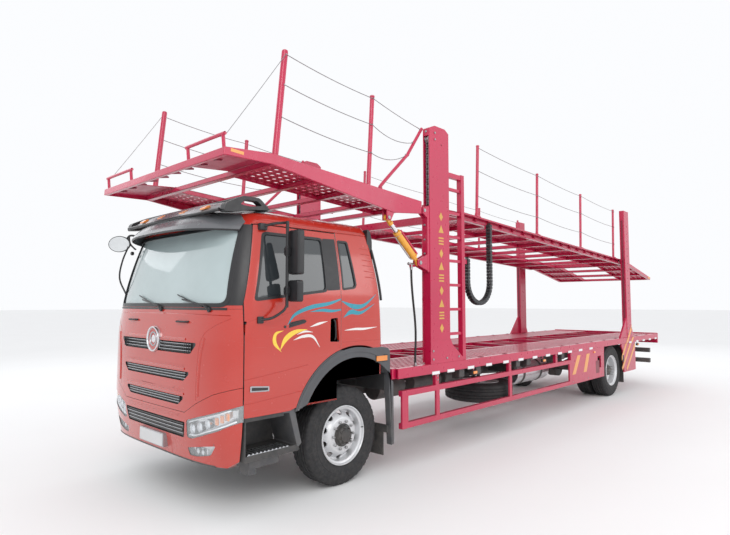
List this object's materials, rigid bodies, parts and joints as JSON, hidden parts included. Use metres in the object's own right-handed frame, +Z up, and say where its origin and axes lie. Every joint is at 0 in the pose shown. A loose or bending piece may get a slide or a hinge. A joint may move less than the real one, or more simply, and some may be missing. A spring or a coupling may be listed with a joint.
{
  "type": "car transporter truck",
  "caption": "Rigid car transporter truck with a forward-control cab, fixed lower deck, tilting front upper deck and lifting rear upper deck with a tail flap.",
  "frame": {"origin": "centre of the bounding box in plan, on the ground", "axes": "+Y towards the rear of the truck, +X towards its left side, +Z up"},
  "size_m": [2.9, 12.0012, 4.2721],
  "materials": {
    "deck_red": "gloss paint, slightly worn",
    "cab_red": "gloss orange-red paint",
    "chassis_dark": "satin dark paint",
    "wheel_silver": "satin silver paint",
    "tyre": "matt rubber",
    "black_plastic": "textured black",
    "visor_grey": "smoked grey",
    "tinted_glass": "tinted",
    "lamp_clear": "clear lens over chrome",
    "cabin_plastic": "grained",
    "seat_fabric": "woven",
    "tank_alloy": "brushed",
    "cylinder_yellow": "gloss yellow paint",
    "rod_chrome": "polished",
    "hose_rubber": "matt"
  },
  "bodies": {
    "root": {"frame_rails": "chassis_dark", "front_axle": "chassis_dark", "rear_axle": "chassis_dark", "leaf_springs": "chassis_dark", "engine": "chassis_dark", "prop_shaft": "chassis_dark", "cab_shell": "cab_red", "front_panel": "cab_red", "grille": "black_plastic", "bumper": "cab_red", "cab_glass": "tinted_glass", "sun_visor": "visor_grey", "headlamps": "lamp_clear", "dashboard": "cabin_plastic", "seats": "seat_fabric", "steering_wheel": "black_plastic", "cab_steps": "black_plastic", "mudguards": "black_plastic", "lower_deck": "deck_red", "front_towers": "deck_red", "rear_posts": "deck_red", "ladder": "deck_red", "side_guards": "deck_red", "rear_panels": "deck_red", "fuel_tank": "tank_alloy", "spare_wheel": "tyre", "rear_underrun": "chassis_dark", "drag_chain": "black_plastic", "lift_hose": "hose_rubber"},
    "front_deck": {"front_upper_deck": "deck_red", "front_deck_posts": "deck_red"},
    "rear_deck": {"rear_upper_deck": "deck_red", "rear_deck_posts": "deck_red"},
    "tail_flap": {"rear_deck_flap": "deck_red"},
    "tilt_barrel_pair": {"tilt_barrels": "cylinder_yellow", "barrel_cradles": "deck_red"},
    "tilt_rod_pair": {"tilt_rods": "rod_chrome"},
    "left_door": {"left_door": "cab_red", "left_window": "tinted_glass", "left_mirror": "black_plastic"},
    "right_door": {"right_door": "cab_red", "right_window": "tinted_glass", "right_mirror": "black_plastic"},
    "left_knuckle": {"left_knuckle": "chassis_dark"},
    "right_knuckle": {"right_knuckle": "chassis_dark"},
    "front_left_wheel": {"front_left_tyre": "tyre", "front_left_rim": "wheel_silver"},
    "front_right_wheel": {"front_right_tyre": "tyre", "front_right_rim": "wheel_silver"},
    "rear_left_wheels": {"rear_left_tyres": "tyre", "rear_left_rims": "wheel_silver"},
    "rear_right_wheels": {"rear_right_tyres": "tyre", "rear_right_rims": "wheel_silver"}
  },
  "joints": [
    {"name": "steer_left", "type": "hinge", "parent": "root", "child": "left_knuckle", "pos_m": [0.85, -4.44, 0.505], "axis": [0, 0, 1], "range_deg": [-35, 35]},
    {"name": "steer_right", "type": "hinge", "parent": "root", "child": "right_knuckle", "pos_m": [-0.85, -4.44, 0.505], "axis": [0, 0, 1], "range_deg": [-35, 35]},
    {"name": "front_left_spin", "type": "hinge", "parent": "left_knuckle", "child": "front_left_wheel", "pos_m": [0.995, -4.44, 0.505], "axis": [1, 0, 0], "continuous": true},
    {"name": "front_right_spin", "type": "hinge", "parent": "right_knuckle", "child": "front_right_wheel", "pos_m": [-0.995, -4.44, 0.505], "axis": [1, 0, 0], "continuous": true},
    {"name": "rear_left_spin", "type": "hinge", "parent": "root", "child": "rear_left_wheels", "pos_m": [0.95, 3.06, 0.505], "axis": [1, 0, 0], "continuous": true},
    {"name": "rear_right_spin", "type": "hinge", "parent": "root", "child": "rear_right_wheels", "pos_m": [-0.95, 3.06, 0.505], "axis": [1, 0, 0], "continuous": true},
    {"name": "left_door_hinge", "type": "hinge", "parent": "root", "child": "left_door", "pos_m": [1.191, -5.701, 1.37], "axis": [0, 0, -1], "range_deg": [0, 70]},
    {"name": "right_door_hinge", "type": "hinge", "parent": "root", "child": "right_door", "pos_m": [-1.191, -5.701, 1.37], "axis": [0, 0, 1], "range_deg": [0, 70]},
    {"name": "front_deck_tilt", "type": "hinge", "parent": "root", "child": "front_deck", "pos_m": [0, -3.225, 2.99], "axis": [-1, 0, 0], "range_deg": [-2, 10]},
    {"name": "tilt_barrel_swing", "type": "hinge", "parent": "root", "child": "tilt_barrel_pair", "pos_m": [0, -3.31, 2.35], "axis": [-1, 0, 0], "range_deg": [-2, 7]},
    {"name": "tilt_rod_slide", "type": "slide", "parent": "tilt_barrel_pair", "child": "tilt_rod_pair", "axis": [0, -0.7649, 0.6441], "range_m": [-0.025, 0.1]},
    {"name": "rear_deck_lift", "type": "slide", "parent": "root", "child": "rear_deck", "axis": [0, 0, 1], "range_m": [-1, 0.25], "deforming": ["drag_chain"]},
    {"name": "tail_flap_hinge", "type": "hinge", "parent": "rear_deck", "child": "tail_flap", "pos_m": [0, 4.3228, 2.75952], "axis": [1, 0, 0], "range_deg": [-8, 100]}
  ],
  "couplings": [
    {"joint": "steer_right", "follows": "steer_left", "ratio": 1},
    {"joint": "tilt_barrel_swing", "follows": "front_deck_tilt", "ratio": 0.53026},
    {"joint": "tilt_rod_slide", "follows": "front_deck_tilt", "m_per_rad": 0.52742}
  ]
}
